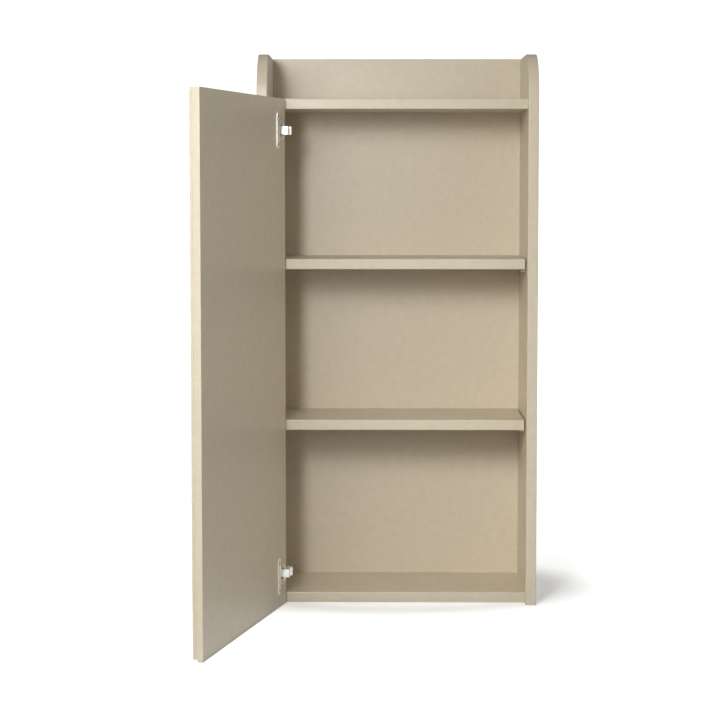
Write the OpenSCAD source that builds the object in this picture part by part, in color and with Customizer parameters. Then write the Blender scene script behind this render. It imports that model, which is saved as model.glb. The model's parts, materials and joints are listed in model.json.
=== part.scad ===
// Narrow wall cabinet with a gallery on top, two loose shelves and one inset door.
// The carcass is two full-height side panels with rounded upper front corners, a top panel
// and a bottom panel let in between them, and one back board that also closes the gallery.
// The door is glued up from two leaves and swings on two single-pivot cup hinges.
// It is drawn open, because that is the rest position of the door joint.
//
// Frame, in millimetres: the origin is the middle of the footprint of the carcass, at the
// bottom. +Z is up, -Y is the front, +X is to the right of someone who faces the cabinet.

/* [Carcass] */
// width over the two side panels
body_w = 400; // [340:5:560]
// height of the side panels
body_h = 792; // [700:5:1000]
// depth from the front of the side panels to the back
body_d = 172; // [150:1:260]
// thickness of the side panels
side_t = 15; // [15:0.5:22]
// thickness of the top and bottom panels
rail_t = 15; // [14:0.5:22]
// thickness of the loose shelves
shelf_t = 15; // [12:0.5:22]
// how far the fronts of the top panel, bottom panel and shelves lie behind the side fronts
rail_setback = 19.2; // [19:0.1:26]
// radius of the rounded upper front corner of each side panel
corner_r = 62; // [20:1:70]
// radius of the eased board edges
ease_r = 1.2; // [0.4:0.1:1.5]
// height of the gallery, from the top of the top panel to the top of the back board
gallery_h = 65; // [30:1:90]
// thickness of the back board
back_t = 8; // [6:0.5:12]
// gap between the back board and each side panel
back_gap = 0.1; // [0.1:0.1:2]

/* [Shelves] */
// height of the underside of the lower shelf above the bottom of the carcass
shelf_lower_z = 251.5; // [220:0.5:265]
// height of the underside of the upper shelf above the bottom of the carcass
shelf_upper_z = 483.5; // [440:0.5:500]
// gap between the end of a shelf and the side panel
shelf_gap = 1.9; // [1.5:0.1:3]
// diameter of a shelf pin
shelf_pin_d = 5; // [4:0.5:6]
// length of a shelf pin that shows under the shelf
shelf_pin_out = 7.5; // [6:0.5:10]
// distance of the front shelf pins behind the shelf front
shelf_pin_inset = 26; // [15:1:40]

/* [Door] */
// gap at the hinge edge and at the free edge of the closed door
door_gap = 1.5; // [1.2:0.1:2.5]
// gap between the bottom of the carcass and the bottom of the closed door
door_bottom = 1; // [0.5:0.5:4]
// gap between the top of the closed door and the top of the top panel
door_top_gap = 1; // [0.5:0.5:4]
// thickness of the front leaf of the door
leaf_front_t = 7.3; // [7:0.1:8]
// thickness of the back leaf of the door
leaf_back_t = 6.7; // [6:0.1:7]
// how far the front leaf stops short of the back leaf at the bottom
leaf_step = 3.2; // [0:0.1:12]
// angle between the closed door and the door as drawn
open_deg = 104; // [0:0.5:104]

/* [Hinges] */
// distance of the middle of each hinge from the end of the door
hinge_in = 44.5; // [42:0.5:100]
// distance of the pivot from the hinge edge of the door
pivot_in = 11.2; // [10.8:0.1:11.2]
// distance of the pivot behind the front face of the closed door
pivot_back = 4.5; // [4.4:0.1:4.6]
// diameter of the bore for the hinge cup
cup_bore_d = 26; // [26:0.5:27]
// depth of the bore for the hinge cup
cup_bore_depth = 11.7; // [11.7:0.1:12]
// distance from the pivot to the middle of the cup
cup_offset = 7; // [6.8:0.1:7.2]
// distance of the cup screws from the middle of the cup, across the door
cup_screw_in = 17; // [12:0.5:18]
// distance between the two cup screws
cup_screw_pitch = 40; // [38:0.5:44]
// diameter of the hinge pin
hinge_pin_d = 2.2; // [2:0.1:2.3]
// width of the hinge arm
arm_w = 11.6; // [9:0.1:11.6]
// thickness of the sheet that the hinge arm is bent from
arm_t = 1.6; // [1.4:0.1:1.6]
// distance of the mounting plate screws behind the side fronts
plate_back = 54; // [52:1:60]
// distance between the two mounting plate screws
plate_pitch = 32; // [30:1:36]

/* [Hangers] */
// distance of the hanger slots below the top of the side panels
hanger_drop = 54; // [47:1:190]
// diameter of the round entry of a hanger slot
hanger_entry_d = 8.6; // [8:0.1:9]
// width of a hanger slot
hanger_slot_w = 4.6; // [4:0.1:5]

/* [Clearances] */
// radial clearance of the hinge pins in the arms
pin_clear = 0.05; // [0.02:0.01:0.1]
// radial clearance of dowels, shelf pins and screws in their holes
fit_clear = 0.03; // [0.01:0.01:0.1]

/* [Quality] */
// smoothness of curves
$fn = 48; // [24:8:96]

/* [Hidden] */
front = -body_d / 2;
back = body_d / 2;
inner_x = body_w / 2 - side_t;
inner_w = 2 * inner_x;
rail_front = front + rail_setback;
back_face = back - back_t;
rail_d = back_face - rail_front;
back_top = body_h;
top_z = body_h - gallery_h - rail_t;
hanger_z = body_h - hanger_drop;
shelf_w = inner_w - 2 * shelf_gap;
shelf_clear_back = 1;
pin_out_r = shelf_pin_d / 2;
pin_front_y = rail_front + shelf_pin_inset;
pin_back_y = back_face - shelf_clear_back - shelf_pin_inset;

door_w = inner_w - 2 * door_gap;
door_h = top_z + rail_t - door_top_gap - door_bottom;
hinge_lower_z = door_bottom + hinge_in;
hinge_upper_z = door_bottom + door_h - hinge_in;
door_t = leaf_front_t + leaf_back_t;
door_x = -inner_x + door_gap;
pivot_x = door_x + pivot_in;
pivot_y = front + pivot_back;
// the pivot seen from the back face of the door
pivot_deep = door_t - pivot_back;
cup_x = door_x + pivot_in + cup_offset;
cup_r = cup_bore_d / 2 - 0.15;
cup_wall = 0.75;
cup_floor = 0.6;
cup_depth = cup_bore_depth - 0.2;
flange_t = 1.2;
cup_screw_x = cup_x + cup_screw_in;
ear_half = 5.9;
ear_t = 1.5;
ear_r = 2.6;
knuckle_half = ear_half - ear_t - 0.35;
arm_inner_x = -inner_x + 13;
arm_front_y = pivot_y + 23;
arm_back_y = arm_front_y + 48;
plate_y = front + plate_back;
screw_d = 3.4;
plate_screw_l = 12.5;
plate_head_d = 6.6;
back_screw_l = 25;
back_head_d = 6.8;
back_screw_inset = 45;
hanger_screw_d = 2.5;
hanger_screw_l = 12;
hanger_head_d = 5;
cup_screw_d = 3;
cup_screw_l = 11;
cup_head_d = 5.6;
dowel_d = 6;
dowel_side = 10;
dowel_rail = 18;
dowel_ys = [rail_front + 28, back_face - 28];
dowel_zs = [rail_t / 2, top_z + rail_t / 2];
back_screw_xs = [-inner_x + back_screw_inset, 0, inner_x - back_screw_inset];
hanger_w = 12;
hanger_l = 46;
hanger_t = 1.6;
hanger_screw_off = 18;
hanger_sink = 0.1;
back_screw_sink = 0.3;

// Profiles.

// rectangle w by h from the origin, with corners rounded to r
module eased_rect(w, h, r) {
    translate([r, 0]) square([w - 2 * r, h]);
    translate([0, r]) square([w, h - 2 * r]);
    for (x = [r, w - r], y = [r, h - r]) translate([x, y]) circle(r);
}

// board that runs along X, with eased long edges
module board_x(w, d, t, r) {
    translate([-w / 2, 0, 0])
        rotate([90, 0, 90])
            linear_extrude(w) eased_rect(d, t, r);
}

// flat-headed wood screw along +Z with its head top at the origin, pointing down
module wood_screw(d, len, head_d) {
    head_h = (head_d - d) / 2;
    rotate_extrude() polygon([
        [0, 0], [head_d / 2, 0], [head_d / 2, -0.3], [d / 2, -0.3 - head_h],
        [d / 2, -len + d / 2], [0, -len],
    ]);
}

// space for that screw, open a little above the head
module wood_screw_hole(d, len, head_d, c) {
    head_h = (head_d - d) / 2;
    rotate_extrude() polygon([
        [0, 1], [head_d / 2 + c, 1], [head_d / 2 + c, -0.3], [d / 2 + c, -0.3 - head_h],
        [d / 2 + c, -len - 1], [0, -len - 1],
    ]);
}

// Carcass.

// side panel with its outer face at x = 0 and its inner face at x = side_t
module side_blank() {
    r = ease_r;
    // part below the rounded corner; the rear edges stay square
    translate([0, front, 0]) linear_extrude(body_h - corner_r) {
        eased_rect(side_t, body_d, r);
        translate([0, body_d / 2]) square([side_t, body_d / 2]);
    }
    // rounded upper front corner
    translate([side_t, front + corner_r, body_h - corner_r])
        rotate([0, 0, -90]) rotate([90, 0, 0]) corner_quarter(r);
    // flat top behind the corner
    translate([0, front + corner_r, body_h - corner_r]) rotate([90, 0, 0]) mirror([0, 0, 1])
        linear_extrude(body_d - corner_r) {
            eased_rect(side_t, corner_r, r);
            square([side_t, corner_r / 2]);
        }
}

// quarter disc of radius corner_r and thickness side_t with an eased rim, axis along Z
module corner_quarter(r) {
    rotate_extrude(angle = 90) {
        square([corner_r - r, side_t]);
        translate([0, r]) square([corner_r, side_t - 2 * r]);
        for (z = [r, side_t - r]) translate([corner_r - r, z]) circle(r);
    }
}

// holes in the inner face of a side panel, inner face at x = side_t, bored towards -X
module side_bores() {
    // dowels
    for (y = dowel_ys, z = dowel_zs)
        translate([side_t - dowel_side - 0.5, y, z]) rotate([0, 90, 0])
            cylinder(d = dowel_d + 2 * fit_clear, h = dowel_side + 2);
    // shelf pins
    for (y = [pin_front_y, pin_back_y], z = [shelf_lower_z, shelf_upper_z])
        translate([side_t - 9.5, y, z - pin_out_r]) rotate([0, 90, 0])
            cylinder(d = shelf_pin_d + 2 * fit_clear, h = 12);
}

// pocket for a hanger plate in the rear edge of a side panel
module hanger_pocket() {
    translate([side_t / 2, back, hanger_z]) {
        translate([-hanger_w / 2 - 0.1, -hanger_t - hanger_sink, -hanger_l / 2 - 0.1])
            cube([hanger_w + 0.2, hanger_t + 1, hanger_l + 0.2]);
        // room for the head of the wall screw
        for (z = [-6, 7]) translate([0, 1, z]) rotate([90, 0, 0]) cylinder(d = hanger_entry_d + 1, h = 9);
        translate([-(hanger_entry_d + 1) / 2, -8, -6]) cube([hanger_entry_d + 1, 9, 13]);
        for (z = [-hanger_screw_off, hanger_screw_off])
            translate([0, -hanger_sink, z]) rotate([-90, 0, 0])
                wood_screw_hole(hanger_screw_d, hanger_screw_l + 1, hanger_head_d, fit_clear);
    }
}

module side_left() {
    color("#cfc3ac") translate([-body_w / 2, 0, 0]) difference() {
        side_blank();
        side_bores();
        hanger_pocket();
        // pilot holes for the screws of the hinge plates
        for (z = [hinge_lower_z, hinge_upper_z], s = [-1, 1])
            translate([side_t + 2.2, plate_y, z + s * plate_pitch / 2]) rotate([0, 90, 0])
                wood_screw_hole(screw_d, plate_screw_l + 0.5, plate_head_d, fit_clear);
    }
}

module side_right() {
    color("#cfc3ac") translate([body_w / 2, 0, 0]) mirror([1, 0, 0]) difference() {
        side_blank();
        side_bores();
        hanger_pocket();
    }
}

module back_board() {
    color("#c6baa3") difference() {
        translate([0, back_face, 0]) board_x(inner_w - 2 * back_gap, back_t, back_top, 0.8);
        for (x = back_screw_xs, z = dowel_zs)
            translate([x, back - back_screw_sink, z]) rotate([-90, 0, 0])
                wood_screw_hole(screw_d, back_screw_l + 1, back_head_d, fit_clear);
    }
}

// top or bottom panel with its underside at z = 0
module rail() {
    difference() {
        translate([0, rail_front, 0]) board_x(inner_w, rail_d, rail_t, ease_r);
        for (s = [-1, 1], y = dowel_ys)
            translate([s * inner_x, y, rail_t / 2]) rotate([0, -90 * s, 0]) translate([0, 0, -1])
                cylinder(d = dowel_d + 2 * fit_clear, h = dowel_rail + 1.5);
        for (x = back_screw_xs)
            translate([x, back - back_screw_sink, rail_t / 2]) rotate([-90, 0, 0])
                wood_screw_hole(screw_d, back_screw_l + 1, back_head_d, fit_clear);
    }
}

module top_panel() {
    color("#cfc3ac") translate([0, 0, top_z]) rail();
}

module bottom_panel() {
    color("#cfc3ac") rail();
}

module shelf() {
    translate([0, rail_front, 0]) board_x(shelf_w, rail_d - shelf_clear_back, shelf_t, ease_r);
}

module shelf_upper() {
    color("#cfc3ac") translate([0, 0, shelf_upper_z]) shelf();
}

module shelf_lower() {
    color("#cfc3ac") translate([0, 0, shelf_lower_z]) shelf();
}

// peg with a thin collar against the side panel and a chamfered tip
module shelf_pin() {
    r = pin_out_r;
    rotate_extrude() polygon([
        [0, -9], [r - 0.5, -9], [r, -8.5], [r, 0], [r + 0.9, 0], [r + 0.9, 1], [r, 1],
        [r, shelf_pin_out - 0.6], [r - 0.6, shelf_pin_out], [0, shelf_pin_out],
    ]);
}

module shelf_pins() {
    color("#b9b6b0")
    for (s = [-1, 1], y = [pin_front_y, pin_back_y], z = [shelf_lower_z, shelf_upper_z])
        translate([s * inner_x, y, z - pin_out_r]) rotate([0, -90 * s, 0]) shelf_pin();
}

// hidden fluted dowels, drawn plain with chamfered ends
module carcass_dowels() {
    r = dowel_d / 2;
    len = dowel_side + dowel_rail;
    color("#c9a878")
    for (s = [-1, 1], y = dowel_ys, z = dowel_zs)
        translate([s * (inner_x + dowel_side), y, z]) rotate([0, -90 * s, 0])
            rotate_extrude() polygon([
                [0, 0], [r - 0.8, 0], [r, 0.8], [r, len - 0.8], [r - 0.8, len], [0, len],
            ]);
}

module back_screws() {
    color("#a8a6a2")
    for (x = back_screw_xs, z = dowel_zs)
        translate([x, back - back_screw_sink, z]) rotate([-90, 0, 0])
            wood_screw(screw_d, back_screw_l, back_head_d);
}

// Hangers in the rear edges of the sides.

module hanger_plate() {
    translate([0, back - hanger_t - hanger_sink, hanger_z]) difference() {
        rotate([-90, 0, 0]) linear_extrude(hanger_t) difference() {
            translate([-hanger_w / 2, -hanger_l / 2]) eased_rect(hanger_w, hanger_l, 2.5);
            // round entry below, slot above
            translate([0, 5]) circle(d = hanger_entry_d);
            translate([-hanger_slot_w / 2, -7]) square([hanger_slot_w, 12]);
            translate([0, -7]) circle(d = hanger_slot_w);
        }
        for (z = [-hanger_screw_off, hanger_screw_off])
            translate([0, hanger_t, z]) rotate([-90, 0, 0])
                wood_screw_hole(hanger_screw_d, hanger_screw_l + 1, hanger_head_d, fit_clear);
    }
}

module hanger_plates() {
    color("#b9b6b0") for (s = [-1, 1]) translate([s * (body_w - side_t) / 2, 0, 0]) hanger_plate();
}

module hanger_screws() {
    color("#a8a6a2")
    for (s = [-1, 1], z = [-hanger_screw_off, hanger_screw_off])
        translate([s * (body_w - side_t) / 2, back - hanger_sink, hanger_z + z]) rotate([-90, 0, 0])
            wood_screw(hanger_screw_d, hanger_screw_l, hanger_head_d);
}

// Hinge, fixed half.

// mounting plate on the inner face of the left side: two wings and a raised centre block
module hinge_plate() {
    translate([-inner_x, 0, 0]) difference() {
        union() {
            translate([0, plate_y - 7, -25]) rotate([90, 0, 90])
                linear_extrude(2.2) eased_rect(14, 50, 5);
            translate([0, arm_front_y + 4, -5.2]) rotate([90, 0, 90])
                linear_extrude(12.8) eased_rect(40, 10.4, 1);
        }
        for (s = [-1, 1])
            translate([2.2, plate_y, s * plate_pitch / 2]) rotate([0, 90, 0])
                wood_screw_hole(screw_d, plate_screw_l + 0.5, plate_head_d, fit_clear);
        translate([3, arm_back_y - 10, 0]) rotate([0, 90, 0]) cylinder(d = 4 + 2 * fit_clear, h = 12);
    }
}

// outline of a sheet of thickness t bent along a row of plan points, with mitred bends
function unit(v) = v / norm(v);
function normal(v) = [-v[1], v[0]];
function before(pts, i) = unit(pts[max(i, 1)] - pts[max(i, 1) - 1]);
function after(pts, i) = unit(pts[min(i, len(pts) - 2) + 1] - pts[min(i, len(pts) - 2)]);
function edge_point(pts, i, d) =
    let (n = normal(before(pts, i)), m = normal(after(pts, i))) pts[i] + d * (n + m) / (1 + n * m);
module strip(pts, t) {
    last = len(pts) - 1;
    polygon(concat(
        [for (i = [0 : last]) edge_point(pts, i, t / 2)],
        [for (i = [last : -1 : 0]) edge_point(pts, i, -t / 2)]
    ));
}

// bend line of the arm, seen from above and measured from the pivot
function arm_path() = [
    [0, 0], [4, 0], [6, -0.3], [15.7, -0.3], [16.4, 0.4], [16.4, 12.2], [17.2, 13], [19.5, 13],
    [20.3, 13.8], [20.3, 19.9], [19.5, 20.8], [6, 21.6], [3, 22.6],
    [arm_inner_x + arm_t / 2 - pivot_x, 25],
    [arm_inner_x + arm_t / 2 - pivot_x, arm_front_y + 4 - pivot_y],
];

// cranked arm: a knuckle round the pin, a gooseneck, and a channel over the mounting plate
module hinge_arm() {
    difference() {
        union() {
            translate([pivot_x, pivot_y, -arm_w / 2]) linear_extrude(arm_w) strip(arm_path(), arm_t);
            translate([pivot_x, pivot_y, -knuckle_half])
                cylinder(d = hinge_pin_d + 2 * pin_clear + 1.5, h = 2 * knuckle_half);
            // channel
            difference() {
                translate([arm_inner_x - 7, arm_front_y + 3, -7]) cube([7 + arm_t, 45, 14]);
                translate([arm_inner_x - 8, arm_front_y + 2, -5.6]) cube([8, 47, 11.2]);
            }
        }
        // pin bore
        translate([pivot_x, pivot_y, -10]) cylinder(d = hinge_pin_d + 2 * pin_clear, h = 20);
        // the strip is narrower between the ears of the cup
        for (s = [-1, 1])
            translate([pivot_x - 3.6, pivot_y - 3, s > 0 ? knuckle_half : -knuckle_half - 5])
                cube([7.2, 6, 5]);
        // screw holes in the channel
        translate([arm_inner_x - 1, arm_back_y - 10, 0]) rotate([0, 90, 0])
            cylinder(d = 4.3, h = 6);
        translate([arm_inner_x - 1, arm_front_y + 9, 0]) rotate([0, 90, 0])
            cylinder(d = 5 + 2 * fit_clear, h = 6);
    }
}

// pan-head machine screw that clamps the arm, along +X
module clamp_screw() {
    rotate([0, 90, 0]) rotate_extrude() polygon([
        [0, -7], [2, -7], [2, 0], [3.6, 0], [3.6, 1.2], [3, 2], [1.3, 2], [1.3, 1], [0, 1],
    ]);
}

// grub screw that bears on the mounting plate and sets the side gap
module adjust_screw() {
    rotate([0, 90, 0]) rotate_extrude() polygon([
        [0, 0], [2.1, 0], [2.5, 0.4], [2.5, 2.4], [1.2, 2.4], [1.2, 1.4], [0, 1.4],
    ]);
}

// Hinge, door half, drawn for the closed door.

// plan outline of the flange in the plane of the door's back face
module flange_outline() {
    circle(r = cup_r + 1.3);
    translate([cup_screw_in - 5.5, -cup_screw_pitch / 2 - 6.5])
        eased_rect(11, cup_screw_pitch + 13, 5);
}

// cup with flange and two ears that carry the pin
module hinge_cup() {
    back_y = front + door_t;
    translate([cup_x, back_y, 0]) rotate([90, 0, 0]) difference() {
        union() {
            // flange on the back face of the door
            translate([0, 0, -flange_t]) linear_extrude(flange_t) flange_outline();
            difference() {
                cylinder(r = cup_r, h = cup_depth);
                translate([0, 0, -1]) cylinder(r = cup_r - cup_wall, h = cup_depth - cup_floor + 1);
            }
        }
        translate([0, 0, -flange_t - 1]) cylinder(r = cup_r - cup_wall, h = flange_t + 2);
        // window in the floor under the knuckle
        translate([-cup_offset - 2.3, -knuckle_half - 0.25, cup_depth - cup_floor - 1])
            cube([4.6, 2 * knuckle_half + 0.5, cup_floor + 2]);
        for (s = [-1, 1])
            translate([cup_screw_in, s * cup_screw_pitch / 2, -flange_t]) rotate([180, 0, 0])
                wood_screw_hole(cup_screw_d, cup_screw_l + 1, cup_head_d, fit_clear);
    }
    // ears
    ear_foot = cup_depth - pivot_deep;
    for (s = [-1, 1]) difference() {
        translate([pivot_x, pivot_y, s > 0 ? ear_half - ear_t : -ear_half]) linear_extrude(ear_t)
            intersection() {
                union() {
                    circle(r = ear_r);
                    translate([-ear_r, -ear_foot]) square([2 * ear_r, ear_foot]);
                }
                translate([-ear_r, -ear_foot]) square([2 * ear_r, ear_foot + ear_r]);
            }
        translate([pivot_x, pivot_y, -10]) cylinder(d = hinge_pin_d + 0.02, h = 20);
    }
}

// Door leaves, drawn closed.

// space that the cups and their screws take in the door
module door_bores() {
    for (z = [hinge_lower_z, hinge_upper_z]) translate([cup_x, front + door_t, z]) rotate([90, 0, 0]) {
        translate([0, 0, -1]) cylinder(d = cup_bore_d, h = cup_bore_depth + 1);
        for (s = [-1, 1])
            translate([cup_screw_in, s * cup_screw_pitch / 2, -flange_t]) rotate([180, 0, 0])
                wood_screw_hole(cup_screw_d, cup_screw_l + 1, cup_head_d, fit_clear);
    }
}

module door_front_closed() {
    difference() {
        translate([door_x, front, door_bottom + leaf_step])
            linear_extrude(door_h - leaf_step) intersection() {
                eased_rect(door_w, leaf_front_t * 2, 1);
                square([door_w, leaf_front_t]);
            }
        door_bores();
        // fine shadow line in the two long edges
        for (x = [door_x - 1, door_x + door_w - 0.6])
            translate([x, front + leaf_front_t / 2, door_bottom - 1]) cube([1.6, 0.5, door_h + 2]);
    }
}

module door_back_closed() {
    difference() {
        translate([door_x, front + leaf_front_t, door_bottom])
            linear_extrude(door_h) intersection() {
                translate([0, -leaf_back_t]) eased_rect(door_w, leaf_back_t * 2, 1);
                square([door_w, leaf_back_t]);
            }
        door_bores();
    }
}

// turns what is drawn for the closed door into the open position
module swung_open() {
    translate([pivot_x, pivot_y, 0]) rotate([0, 0, -open_deg]) translate([-pivot_x, -pivot_y, 0]) children();
}

module door_front_leaf() {
    color("#cfc3ac") swung_open() door_front_closed();
}

module door_back_leaf() {
    color("#c9bda6") swung_open() door_back_closed();
}

// Hinge nodes.

module hinge_plate_upper() {
    color("#b9b6b0") translate([0, 0, hinge_upper_z]) hinge_plate();
}

module hinge_plate_lower() {
    color("#b9b6b0") translate([0, 0, hinge_lower_z]) hinge_plate();
}

module hinge_plate_screws() {
    color("#a8a6a2")
    for (z = [hinge_lower_z, hinge_upper_z], s = [-1, 1])
        translate([-inner_x + 2.2, plate_y, z + s * plate_pitch / 2]) rotate([0, 90, 0])
            wood_screw(screw_d, plate_screw_l, plate_head_d);
}

module hinge_arm_upper() {
    color("#c4c2bd") translate([0, 0, hinge_upper_z]) hinge_arm();
}

module hinge_arm_lower() {
    color("#c4c2bd") translate([0, 0, hinge_lower_z]) hinge_arm();
}

module hinge_clamp_screws() {
    color("#a8a6a2")
    for (z = [hinge_lower_z, hinge_upper_z])
        translate([arm_inner_x + arm_t, arm_back_y - 10, z]) clamp_screw();
}

module hinge_adjust_screws() {
    color("#a8a6a2")
    for (z = [hinge_lower_z, hinge_upper_z])
        translate([arm_inner_x - 0.2, arm_front_y + 9, z]) adjust_screw();
}

module hinge_cup_upper() {
    color("#c4c2bd") swung_open() translate([0, 0, hinge_upper_z]) hinge_cup();
}

module hinge_cup_lower() {
    color("#c4c2bd") swung_open() translate([0, 0, hinge_lower_z]) hinge_cup();
}

module hinge_cup_screws() {
    color("#a8a6a2") swung_open()
    for (z = [hinge_lower_z, hinge_upper_z], s = [-1, 1])
        translate([cup_screw_x, front + door_t + flange_t, z + s * cup_screw_pitch / 2])
            rotate([-90, 0, 0]) wood_screw(cup_screw_d, cup_screw_l, cup_head_d);
}

module hinge_pins() {
    color("#a8a6a2")
    for (z = [hinge_lower_z, hinge_upper_z])
        translate([pivot_x, pivot_y, z - ear_half - 0.15]) cylinder(d = hinge_pin_d, h = 2 * ear_half + 0.3);
}

side_left();
side_right();
back_board();
top_panel();
bottom_panel();
shelf_upper();
shelf_lower();
shelf_pins();
carcass_dowels();
back_screws();
hanger_plates();
hanger_screws();
hinge_plate_upper();
hinge_plate_lower();
hinge_plate_screws();
hinge_arm_upper();
hinge_arm_lower();
hinge_clamp_screws();
hinge_adjust_screws();
door_front_leaf();
door_back_leaf();
hinge_cup_upper();
hinge_cup_lower();
hinge_cup_screws();
hinge_pins();
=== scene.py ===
"""Looks of the wall cabinet: camera, light, lacquer, steel and edge detail, in metres."""
import json
from math import cos, pi, radians, sin

import bmesh
import bpy
from mathutils import Matrix, Vector


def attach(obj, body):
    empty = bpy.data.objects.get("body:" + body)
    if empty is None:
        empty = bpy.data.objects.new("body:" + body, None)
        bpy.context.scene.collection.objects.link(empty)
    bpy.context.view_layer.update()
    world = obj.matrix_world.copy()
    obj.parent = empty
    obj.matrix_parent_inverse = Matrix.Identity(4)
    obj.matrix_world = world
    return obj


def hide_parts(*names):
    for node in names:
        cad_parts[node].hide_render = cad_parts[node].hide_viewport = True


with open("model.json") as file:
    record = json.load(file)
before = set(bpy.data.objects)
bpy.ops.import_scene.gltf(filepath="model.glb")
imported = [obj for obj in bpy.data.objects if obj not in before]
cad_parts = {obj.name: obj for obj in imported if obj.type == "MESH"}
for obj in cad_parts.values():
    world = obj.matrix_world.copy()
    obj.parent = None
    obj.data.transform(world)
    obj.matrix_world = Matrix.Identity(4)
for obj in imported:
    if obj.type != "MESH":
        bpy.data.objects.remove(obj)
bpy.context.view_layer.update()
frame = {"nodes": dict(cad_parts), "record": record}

MM = 0.001
# Vertices of the CAD meshes that are closer than this are one vertex.
WELD = 2e-6
# Faces that turn by less than this are one flat face.
FLAT = radians(0.4)
# Vertices that are closer than this after the easing bound no face.
NO_SIZE = 1e-6
# Edges that turn by more than this are eased.
CORNER = radians(35)
# Smooth shading stops at edges that turn by more than this, in degrees.
PIECE_BREAK = 40
PAPER_BREAK = 60
# Loop colour that marks the eased edges, which are lighter: rubbed finish and a painted
# highlight.
WEAR_AND_HIGHLIGHT = "edge_wear_and_highlight"

BACK = Vector((0, 1, 0))
RIGHT = Vector((1, 0, 0))
# Door as drawn: turned this far from shut, about +Z.
OPEN_ANGLE = radians(104)
DOOR_IN = Matrix.Rotation(-OPEN_ANGLE, 3, "Z") @ BACK

BODY_OF = {
    node: body
    for body, nodes in frame["record"]["behaviour"]["bodies"].items()
    for node in nodes
}
SLOT_OF = {s["node"]: s["material_slot"] for s in frame["record"]["subparts"]}


# Node helpers. Noise lies mostly between these two values.
NOISE_LOW, NOISE_HIGH = 0.3, 0.7


def new_material(name):
    mat = bpy.data.materials.new(name)
    mat.use_nodes = True
    tree = mat.node_tree
    tree.nodes.clear()
    out = tree.nodes.new("ShaderNodeOutputMaterial")
    bsdf = tree.nodes.new("ShaderNodeBsdfPrincipled")
    tree.links.new(bsdf.outputs["BSDF"], out.inputs["Surface"])
    return mat, tree, bsdf


def object_coords(tree, scale=(1, 1, 1)):
    coord = tree.nodes.new("ShaderNodeTexCoord")
    mapping = tree.nodes.new("ShaderNodeMapping")
    mapping.inputs["Scale"].default_value = scale
    tree.links.new(coord.outputs["Object"], mapping.inputs["Vector"])
    return mapping.outputs["Vector"]


def noise(tree, vector, scale, detail=2.0, rough=0.5):
    node = tree.nodes.new("ShaderNodeTexNoise")
    node.inputs["Scale"].default_value = scale
    node.inputs["Detail"].default_value = detail
    node.inputs["Roughness"].default_value = rough
    tree.links.new(vector, node.inputs["Vector"])
    return node.outputs["Fac"]


def ramp(tree, fac, low, high):
    """Colour from low to high as the noise goes from low to high."""
    node = tree.nodes.new("ShaderNodeValToRGB")
    ends = node.color_ramp.elements
    ends[0].position, ends[1].position = NOISE_LOW, NOISE_HIGH
    ends[0].color = (*low, 1)
    ends[1].color = (*high, 1)
    tree.links.new(fac, node.inputs["Fac"])
    return node.outputs["Color"]


def spread(tree, fac, low, high):
    """Number from low to high as the noise goes from low to high."""
    node = tree.nodes.new("ShaderNodeMapRange")
    node.inputs["From Min"].default_value = NOISE_LOW
    node.inputs["From Max"].default_value = NOISE_HIGH
    node.inputs["To Min"].default_value = low
    node.inputs["To Max"].default_value = high
    tree.links.new(fac, node.inputs["Value"])
    return node.outputs["Result"]


def bump(tree, height, distance, strength, normal=None):
    node = tree.nodes.new("ShaderNodeBump")
    node.inputs["Distance"].default_value = distance
    node.inputs["Strength"].default_value = strength
    tree.links.new(height, node.inputs["Height"])
    if normal is not None:
        tree.links.new(normal, node.inputs["Normal"])
    return node.outputs["Normal"]


def mix_by_wear_and_highlight(tree, plain, worn_highlight):
    """Plain colour on the faces, a lighter colour along the eased edges that is both wear and a
    painted highlight.
    """
    attr = tree.nodes.new("ShaderNodeAttribute")
    attr.attribute_name = WEAR_AND_HIGHLIGHT
    mix = tree.nodes.new("ShaderNodeMix")
    mix.data_type = "RGBA"
    tree.links.new(attr.outputs["Fac"], mix.inputs["Factor"])
    # Sockets 6, 7 and output 2 are the colour ones.
    tree.links.new(plain, mix.inputs[6])
    tree.links.new(worn_highlight, mix.inputs[7])
    return mix.outputs[2]


def tint(rgb, k):
    return tuple(c * k for c in rgb)


# Materials.
def lacquer(name, rgb, rough=0.40):
    """Sprayed satin lacquer: faint clouding, fine orange peel and lighter edges, which are rubbed
    wear and a painted highlight.
    """
    mat, tree, bsdf = new_material(name)
    vec = object_coords(tree)
    cloud = noise(tree, vec, 3.0)
    plain = ramp(tree, cloud, tint(rgb, 0.988), tint(rgb, 1.01))
    # Lighter along the eased edges: rubbed wear and a painted highlight.
    edge_mottle = noise(tree, vec, 90.0, detail=3.0)
    worn_highlight = ramp(tree, edge_mottle, tint(rgb, 1.01), tint(rgb, 1.08))
    tree.links.new(mix_by_wear_and_highlight(tree, plain, worn_highlight), bsdf.inputs["Base Color"])
    smear = noise(tree, vec, 28.0, detail=4.0)
    tree.links.new(spread(tree, smear, rough - 0.02, rough + 0.04), bsdf.inputs["Roughness"])
    peel = bump(tree, noise(tree, vec, 420.0), distance=0.06 * MM, strength=0.22)
    soft = bump(tree, noise(tree, vec, 60.0), distance=0.30 * MM, strength=0.04, normal=peel)
    tree.links.new(soft, bsdf.inputs["Normal"])
    bsdf.inputs["Specular IOR Level"].default_value = 0.80
    return mat


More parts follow.
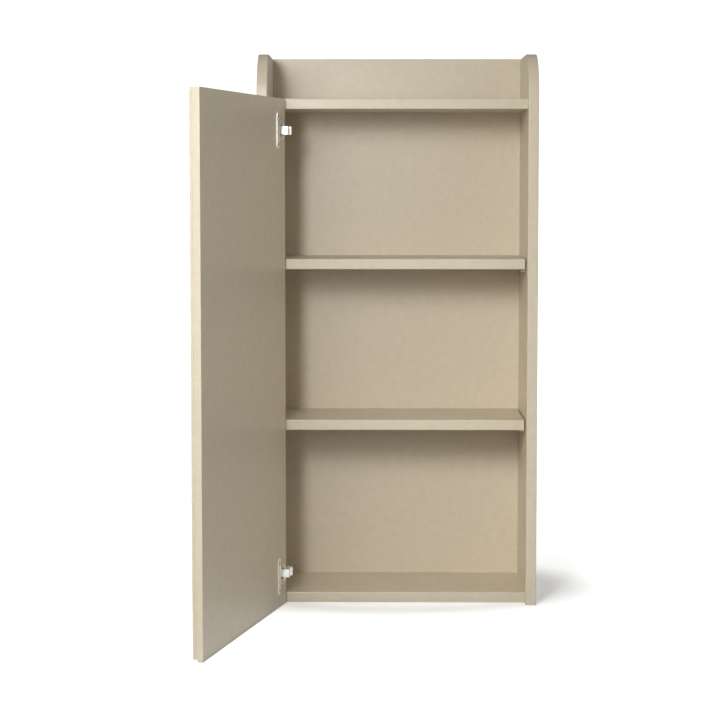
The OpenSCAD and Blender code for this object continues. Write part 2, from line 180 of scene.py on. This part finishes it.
def plated_steel(name, rgb, rough, stretch):
    """Plated sheet steel with fine drawn lines along one direction."""
    mat, tree, bsdf = new_material(name)
    bsdf.inputs["Metallic"].default_value = 1.0
    vec = object_coords(tree)
    lines = noise(tree, object_coords(tree, stretch), 1.0, detail=3.0, rough=0.6)
    patch = noise(tree, vec, 160.0, detail=3.0)
    plain = ramp(tree, patch, tint(rgb, 0.93), tint(rgb, 1.04))
    # Lighter along the eased edges: wear and a painted highlight.
    worn_highlight = ramp(tree, lines, tint(rgb, 1.02), tint(rgb, 1.12))
    tree.links.new(mix_by_wear_and_highlight(tree, plain, worn_highlight), bsdf.inputs["Base Color"])
    tree.links.new(spread(tree, patch, rough - 0.05, rough + 0.06), bsdf.inputs["Roughness"])
    drawn = bump(tree, lines, distance=0.03 * MM, strength=0.25)
    tree.links.new(drawn, bsdf.inputs["Normal"])
    return mat


def raw_wood(name, light, dark):
    """Turned beech: grain lines along the dowel, which lies along X."""
    mat, tree, bsdf = new_material(name)
    grain = noise(tree, object_coords(tree, GRAIN_ACROSS), 1.0, detail=4.0, rough=0.6)
    tree.links.new(ramp(tree, grain, dark, light), bsdf.inputs["Base Color"])
    tree.links.new(spread(tree, grain, 0.55, 0.7), bsdf.inputs["Roughness"])
    ribs = bump(tree, grain, distance=0.1 * MM, strength=0.3)
    tree.links.new(ribs, bsdf.inputs["Normal"])
    return mat


BEIGE = (0.591, 0.517, 0.388)
# Scales of lines and grain: small along them, large across them.
DRAWN_UP = (1500, 1500, 60)
DRAWN_ACROSS = (60, 1500, 1500)
TUMBLED = (800, 800, 800)
GRAIN_ACROSS = (30, 900, 900)
MATERIALS = {
    "carcass_lacquer": lacquer("carcass lacquer", BEIGE),
    "back_lacquer": lacquer("back lacquer", tint(BEIGE, 0.99), 0.44),
    "door_lacquer": lacquer("door lacquer", BEIGE, 0.38),
    "dowel_wood": raw_wood("beech dowel", (0.62, 0.43, 0.24), (0.47, 0.30, 0.15)),
    "pin_steel": plated_steel("pin steel", (0.46, 0.43, 0.39), 0.38, DRAWN_ACROSS),
    # Screw steel is darker than the other steels: partly its plated tone, partly painted shade in
    # the screw heads.
    "screw_steel": plated_steel("screw steel", (0.42, 0.41, 0.39), 0.34, TUMBLED),
    "hanger_steel": plated_steel("hanger steel", (0.58, 0.58, 0.58), 0.38, DRAWN_UP),
    "hinge_steel": plated_steel("hinge steel", (0.94, 0.93, 0.90), 0.42, DRAWN_UP),
}


# Mesh helpers.
def link(name, mesh):
    obj = bpy.data.objects.new(name, mesh)
    bpy.context.scene.collection.objects.link(obj)
    return obj


def copy_node(node):
    return link(node + "_finished", frame["nodes"][node].data.copy())


def dress(obj, node):
    """Give a piece that replaces a node its material, body and slot."""
    obj.data.materials.clear()
    obj.data.materials.append(MATERIALS[SLOT_OF[node]])
    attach(obj, BODY_OF[node])
    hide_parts(node)


def apply_modifiers(obj):
    graph = bpy.context.evaluated_depsgraph_get()
    done = bpy.data.meshes.new_from_object(obj.evaluated_get(graph))
    obj.modifiers.clear()
    obj.data = done


def clean(bm):
    """Weld the CAD mesh and join its triangles into flat faces."""
    bmesh.ops.remove_doubles(bm, verts=bm.verts, dist=WELD)
    bmesh.ops.dissolve_limit(bm, angle_limit=FLAT, verts=bm.verts, edges=bm.edges)


def shade(mesh, angle):
    """Smooth shading that breaks at edges sharper than angle, in degrees."""
    for poly in mesh.polygons:
        poly.use_smooth = True
    mesh.set_sharp_from_angle(angle=radians(angle))


def weigh_normals(obj):
    """Let the large faces lead the normals, so that boards stay flat beside their eased edges."""
    mod = obj.modifiers.new("weigh", "WEIGHTED_NORMAL")
    mod.mode = "FACE_AREA"
    mod.keep_sharp = True
    apply_modifiers(obj)


def ease_edges(obj, width, segments=2):
    """Round the outer edges by width and mark the new faces for the lighter edge colour, which is
    wear and a painted highlight.
    """
    bm = bmesh.new()
    bm.from_mesh(obj.data)
    clean(bm)
    wear_and_highlight_mark = bm.loops.layers.float_color.new(WEAR_AND_HIGHLIGHT)
    sharp = [
        e for e in bm.edges
        if e.is_manifold and e.is_convex and e.calc_face_angle(0) > CORNER
    ]
    made = bmesh.ops.bevel(
        bm, geom=sharp, offset=width, offset_type="OFFSET", segments=segments,
        profile=0.5, affect="EDGES", clamp_overlap=True,
    )
    for face in made["faces"]:
        for loop in face.loops:
            loop[wear_and_highlight_mark] = (1, 1, 1, 1)
    # Where there is no room for the rounding, it ends in faces of no size.
    bmesh.ops.remove_doubles(bm, verts=bm.verts, dist=NO_SIZE)
    bmesh.ops.dissolve_degenerate(bm, dist=NO_SIZE, edges=bm.edges)
    bmesh.ops.triangulate(bm, faces=[f for f in bm.faces if len(f.verts) > 4])
    bm.to_mesh(obj.data)
    bm.free()
    shade(obj.data, PIECE_BREAK)
    weigh_normals(obj)


# Nodes that keep their shape, by the width of their eased edges.
EASED = (
    (0.9 * MM, (
        "side_left", "side_right", "back_board", "top_panel", "bottom_panel",
        "shelf_upper", "shelf_lower", "door_front_leaf", "door_back_leaf",
    )),
    (0.18 * MM, (
        "hinge_plate_upper", "hinge_plate_lower", "hinge_arm_upper", "hinge_arm_lower",
        "hinge_cup_upper", "hinge_cup_lower", "hanger_plates",
    )),
    (0.15 * MM, ("shelf_pins", "hinge_pins", "carcass_dowels")),
)

for width, nodes in EASED:
    for node in nodes:
        piece = copy_node(node)
        ease_edges(piece, width)
        dress(piece, node)


# Screws with a cross recess cut into each head. A blade narrows to these shares at its tip.
TIP_SPAN, TIP_BLADE = 0.35, 0.7
CUT_ABOVE = 0.5 * MM
# What lies this close to the far end of a screw is the top of its head.
RIM_HEIGHT = 0.05 * MM
RECESS_EASE = 0.08 * MM
# Degrees by which the first recess is turned, and each next one more.
FIRST_TURN, NEXT_TURN = 17, 37


def cross_cutter(span, blade, depth):
    """Two crossed blades that narrow towards the tip, pointing down -Z from z = 0."""
    def corners(x, y):
        return [(-x, -y), (x, -y), (x, y), (-x, y)]

    bm = bmesh.new()
    for turn in (0, 1):
        top = corners(span, blade)
        low = corners(span * TIP_SPAN, blade * TIP_BLADE)
        if turn:
            top = [(-y, x) for x, y in top]
            low = [(-y, x) for x, y in low]
        up = [bm.verts.new((x, y, CUT_ABOVE)) for x, y in top]
        dn = [bm.verts.new((x, y, -depth)) for x, y in low]
        bm.faces.new(up)
        bm.faces.new(dn[::-1])
        for i in range(4):
            j = (i + 1) % 4
            bm.faces.new((up[i], dn[i], dn[j], up[j]))
    bmesh.ops.recalc_face_normals(bm, faces=bm.faces)
    return bm


def loose_parts(bm):
    """Groups of vertices that hang together."""
    left = set(bm.verts)
    while left:
        stack = [left.pop()]
        part = set(stack)
        while stack:
            for edge in stack.pop().link_edges:
                for v in edge.verts:
                    if v in left:
                        left.discard(v)
                        part.add(v)
                        stack.append(v)
        yield part


def head_centres(mesh, axis):
    """Middle of each screw's head top, for screws whose heads face along axis."""
    bm = bmesh.new()
    bm.from_mesh(mesh)
    bmesh.ops.remove_doubles(bm, verts=bm.verts, dist=WELD)
    centres = []
    for part in loose_parts(bm):
        far = max(v.co.dot(axis) for v in part)
        rim = [v.co for v in part if v.co.dot(axis) > far - RIM_HEIGHT]
        low = Vector([min(c[i] for c in rim) for i in range(3)])
        high = Vector([max(c[i] for c in rim) for i in range(3)])
        centres.append((low + high) / 2)
    bm.free()
    return sorted(centres, key=lambda c: (round(c.x, 5), round(c.y, 5), round(c.z, 5)))


def recess_cutters(centres, axis, span, blade, depth):
    """One mesh of crossed blades, each turned by an angle of its own."""
    cut = bmesh.new()
    turn = axis.to_track_quat("Z", "Y").to_matrix().to_4x4()
    for i, centre in enumerate(centres):
        one = cross_cutter(span, blade, depth)
        spin = Matrix.Rotation(radians(FIRST_TURN + NEXT_TURN * i), 4, "Z")
        one.transform(Matrix.Translation(centre) @ turn @ spin)
        mesh = bpy.data.meshes.new("one_recess")
        one.to_mesh(mesh)
        one.free()
        cut.from_mesh(mesh)
        bpy.data.meshes.remove(mesh)
    mesh = bpy.data.meshes.new("recess_cutters")
    cut.to_mesh(mesh)
    cut.free()
    return link("recess_cutters", mesh)


def recess_screws(node, axis, span, blade, depth):
    """Replace a node of screws by a copy with a cross recess in each head."""
    obj = copy_node(node)
    bm = bmesh.new()
    bm.from_mesh(obj.data)
    clean(bm)
    bm.to_mesh(obj.data)
    bm.free()
    cutter = recess_cutters(head_centres(obj.data, axis), axis, span, blade, depth)
    mod = obj.modifiers.new("recess", "BOOLEAN")
    mod.operation = "DIFFERENCE"
    mod.solver = "EXACT"
    mod.use_self = True
    mod.object = cutter
    apply_modifiers(obj)
    bpy.data.objects.remove(cutter)
    ease_edges(obj, RECESS_EASE, 1)
    dress(obj, node)


# Direction the heads face, half a blade's length, half its thickness and its depth.
recess_screws("back_screws", BACK, 2.1 * MM, 0.5 * MM, 1.7 * MM)
recess_screws("hanger_screws", BACK, 1.6 * MM, 0.4 * MM, 1.3 * MM)
recess_screws("hinge_plate_screws", RIGHT, 2.1 * MM, 0.5 * MM, 1.7 * MM)
recess_screws("hinge_cup_screws", DOOR_IN, 1.8 * MM, 0.45 * MM, 1.4 * MM)
recess_screws("hinge_clamp_screws", RIGHT, 2.1 * MM, 0.5 * MM, 1.3 * MM)
recess_screws("hinge_adjust_screws", RIGHT, 1.5 * MM, 0.4 * MM, 1.3 * MM)


# Floor and backdrop: one sheet for the camera and one, just below it, for gloss.
PAPER_LOW, PAPER_HIGH = (0.94, 0.94, 0.94), (0.96, 0.96, 0.96)
# The glow is an oval, narrow from front to back: places are scaled, then shifted.
GLOW_SCALE = (1, 1.5, 1)
GLOW_SHIFT = (0, -0.06, 0)


def paper(name, stops=()):
    """White studio paper, slightly uneven. It glows by its distance from the object's foot; the
    glow is lower near the foot, a painted shadow around the object.
    """
    mat, tree, bsdf = new_material(name)
    vec = object_coords(tree)
    white = ramp(tree, noise(tree, vec, 1.5), PAPER_LOW, PAPER_HIGH)
    tree.links.new(white, bsdf.inputs["Base Color"])
    tree.links.new(spread(tree, noise(tree, vec, 12.0), 0.85, 0.95), bsdf.inputs["Roughness"])
    tooth = bump(tree, noise(tree, vec, 300.0), distance=0.02 * MM, strength=0.1)
    tree.links.new(tooth, bsdf.inputs["Normal"])
    if not stops:
        return mat
    bsdf.inputs["Emission Color"].default_value = (1, 1, 1, 1)
    oval = tree.nodes.new("ShaderNodeMapping")
    oval.inputs["Location"].default_value = GLOW_SHIFT
    oval.inputs["Scale"].default_value = GLOW_SCALE
    tree.links.new(vec, oval.inputs["Vector"])
    far = tree.nodes.new("ShaderNodeVectorMath")
    far.operation = "LENGTH"
    tree.links.new(oval.outputs["Vector"], far.inputs[0])
    reach = tree.nodes.new("ShaderNodeMath")
    reach.operation = "DIVIDE"
    reach.inputs[1].default_value = stops[-1][0]
    tree.links.new(far.outputs["Value"], reach.inputs[0])
    glow = tree.nodes.new("ShaderNodeValToRGB")
    marks = glow.color_ramp.elements
    while len(marks) < len(stops):
        marks.new(0.5)
    for mark, (distance, level) in zip(marks, stops):
        mark.position = distance / stops[-1][0]
        mark.color = (level, level, level, 1)
    tree.links.new(reach.outputs[0], glow.inputs["Fac"])
    tree.links.new(glow.outputs["Color"], bsdf.inputs["Emission Strength"])
    mat.cycles.emission_sampling = "NONE"
    return mat


def set_out(name, bm, stops=()):
    """Set out a sheet of paper that throws no light back on the object."""
    mesh = bpy.data.meshes.new(name)
    bm.to_mesh(mesh)
    bm.free()
    shade(mesh, PAPER_BREAK)
    obj = link(name, mesh)
    mesh.materials.append(paper(name.replace("_", " "), stops))
    obj.visible_diffuse = False
    return obj


def quarter_turn(steps):
    """Angles from just above 0 to a right angle."""
    return [pi / 2 * i / steps for i in range(1, steps + 1)]


SWEEP_HALF = 9.0
SWEEP_FRONT = -6.0
SWEEP_BACK = 3.0
SWEEP_BEND = 1.6
SWEEP_TOP = 7.0
SWEEP_STEPS = 12


def sweep(name, level):
    """Floor that bends up into a wall behind the object."""
    profile = [(SWEEP_FRONT, level), (SWEEP_BACK - SWEEP_BEND, level)]
    for a in quarter_turn(SWEEP_STEPS):
        y = SWEEP_BACK - SWEEP_BEND * (1 - sin(a))
        profile.append((y, level + SWEEP_BEND * (1 - cos(a))))
    profile.append((SWEEP_BACK, SWEEP_TOP))
    bm = bmesh.new()
    rows = [[bm.verts.new((x, y, z)) for x in (-SWEEP_HALF, SWEEP_HALF)] for y, z in profile]
    for a, b in zip(rows, rows[1:]):
        bm.faces.new((a[0], a[1], b[1], b[0]))
    return set_out(name, bm)


COVE_RINGS = (0.5, 1.0, 2.0, 4.0)
COVE_FLOOR = 8.0
COVE_BEND = 4.0
COVE_WIDE = COVE_FLOOR + COVE_BEND
COVE_SIDES = 64
COVE_STEPS, DOME_STEPS = 8, 12


def cove(name, stops):
    """Round floor that bends up into a closed dome, so that every view has paper behind it."""
    profile = [(r, 0.0) for r in (*COVE_RINGS, COVE_FLOOR)]
    for a in quarter_turn(COVE_STEPS):
        profile.append((COVE_FLOOR + COVE_BEND * sin(a), COVE_BEND * (1 - cos(a))))
    for a in quarter_turn(DOME_STEPS)[:-1]:
        profile.append((COVE_WIDE * cos(a), COVE_BEND + COVE_WIDE * sin(a)))
    turns = [2 * pi * i / COVE_SIDES for i in range(COVE_SIDES)]
    bm = bmesh.new()
    rings = [[bm.verts.new((r * cos(t), r * sin(t), z)) for t in turns] for r, z in profile]
    foot = bm.verts.new((0, 0, 0))
    top = bm.verts.new((0, 0, COVE_BEND + COVE_WIDE))
    for i in range(COVE_SIDES):
        j = (i + 1) % COVE_SIDES
        bm.faces.new((foot, rings[0][i], rings[0][j]))
        for a, b in zip(rings, rings[1:]):
            bm.faces.new((a[i], b[i], b[j], a[j]))
        bm.faces.new((top, rings[-1][j], rings[-1][i]))
    return set_out(name, bm, stops)


# Distances from the object's foot and the glow there: a painted contact shadow where the glow
# dips, then glow that paints the floor bleached white.
GLOW_AND_PAINTED_SHADOW = (
    (0.20, 0.29), (0.235, 0.20), (0.265, 0.30), (0.295, 0.43),
    (0.34, 0.60), (0.55, 0.69), (1.20, 0.71), (2.60, 1.0),
)
GLOSS_LEVEL = -0.004
dome = cove("studio_paper", GLOW_AND_PAINTED_SHADOW)
dome.visible_glossy = False
dome.visible_shadow = False
sweep("studio_board", GLOSS_LEVEL).visible_camera = False


# Lights and camera.
def soft_box(name, place, aim, size, power, spread=180):
    light = bpy.data.lights.new(name, "AREA")
    light.shape = "RECTANGLE"
    light.size, light.size_y = size
    light.spread = radians(spread)
    light.energy = power
    obj = link(name, light)
    obj.location = place
    obj.rotation_euler = (Vector(aim) - Vector(place)).to_track_quat("-Z", "Y").to_euler()
    return obj


# Place, aim, size in metres, power in watts and, for a narrow beam, its spread in degrees.
MIDDLE = (0, 0, 0.4)
FOOT = (0.1, 0, 0.08)
soft_box("bank_1", (-0.414, -1.946, 0.609), MIDDLE, (0.24, 0.30), 2.9)
soft_box("bank_2", (-0.420, -1.881, 0.951), MIDDLE, (0.20, 0.36), 7.6)
soft_box("bank_3", (-0.612, -1.777, 1.084), MIDDLE, (0.36, 0.36), 5.2)
soft_box("bank_4", (-0.788, -1.616, 1.277), MIDDLE, (0.36, 0.36), 1.0)
soft_box("bank_5", (-1.091, -1.558, 1.018), MIDDLE, (0.36, 0.36), 2.8)
soft_box("foot_1", (-0.386, -1.814, 1.149), FOOT, (0.50, 0.50), 0.56, 50)
soft_box("foot_2", (-0.782, -1.756, 0.951), FOOT, (0.50, 0.50), 0.48, 50)
soft_box("fill_right", (1.790, -1.034, 1.152), MIDDLE, (1.40, 1.40), 7.8)
# Light thrown up by the floor in front.
bounce = soft_box("floor_bounce", (0.10, -0.36, 0.004), (0.10, -0.36, 1.0), (0.80, 0.40), 0.20)
bounce.visible_camera = False


def studio_walls(walls):
    """World light from a few directions, each fading with the cosine of the angle from it."""
    world = bpy.data.worlds.new("studio")
    world.use_nodes = True
    tree = world.node_tree
    background = tree.nodes["Background"]
    background.inputs["Color"].default_value = (1, 1, 1, 1)
    coord = tree.nodes.new("ShaderNodeTexCoord")
    total = None
    for direction, strength in walls:
        dot = tree.nodes.new("ShaderNodeVectorMath")
        dot.operation = "DOT_PRODUCT"
        dot.inputs[1].default_value = tuple(strength * c for c in direction)
        tree.links.new(coord.outputs["Generated"], dot.inputs[0])
        cut = tree.nodes.new("ShaderNodeMath")
        cut.operation = "MAXIMUM"
        cut.inputs[1].default_value = 0.0
        tree.links.new(dot.outputs["Value"], cut.inputs[0])
        if total is None:
            total = cut.outputs[0]
            continue
        add = tree.nodes.new("ShaderNodeMath")
        add.operation = "ADD"
        tree.links.new(total, add.inputs[0])
        tree.links.new(cut.outputs[0], add.inputs[1])
        total = add.outputs[0]
    tree.links.new(total, background.inputs["Strength"])
    bpy.context.scene.world = world


studio_walls((
    ((-1, 0, 0), 0.45),
    ((1, 0, 0), 0.28),
    ((0, 1, 0), 0.42),
    ((0, 0, 1), 0.12),
    ((0, 0, -1), 0.08),
))
bpy.context.scene.view_settings.view_transform = "Standard"

# Found from the photograph's edges: it looks down a little and turns a little to the left.
LOOK_DOWN = radians(4.2379)
TURN_LEFT = radians(0.5337)
camera_data = bpy.data.cameras.new("camera")
camera_data.lens = 96.68
camera_data.sensor_width = 36.0
camera_data.shift_y = -0.045
camera = link("camera", camera_data)
camera.location = (-0.02788, -2.8368, 0.60510)
camera.rotation_euler = (radians(90) - LOOK_DOWN, 0, TURN_LEFT)
bpy.context.scene.camera = camera
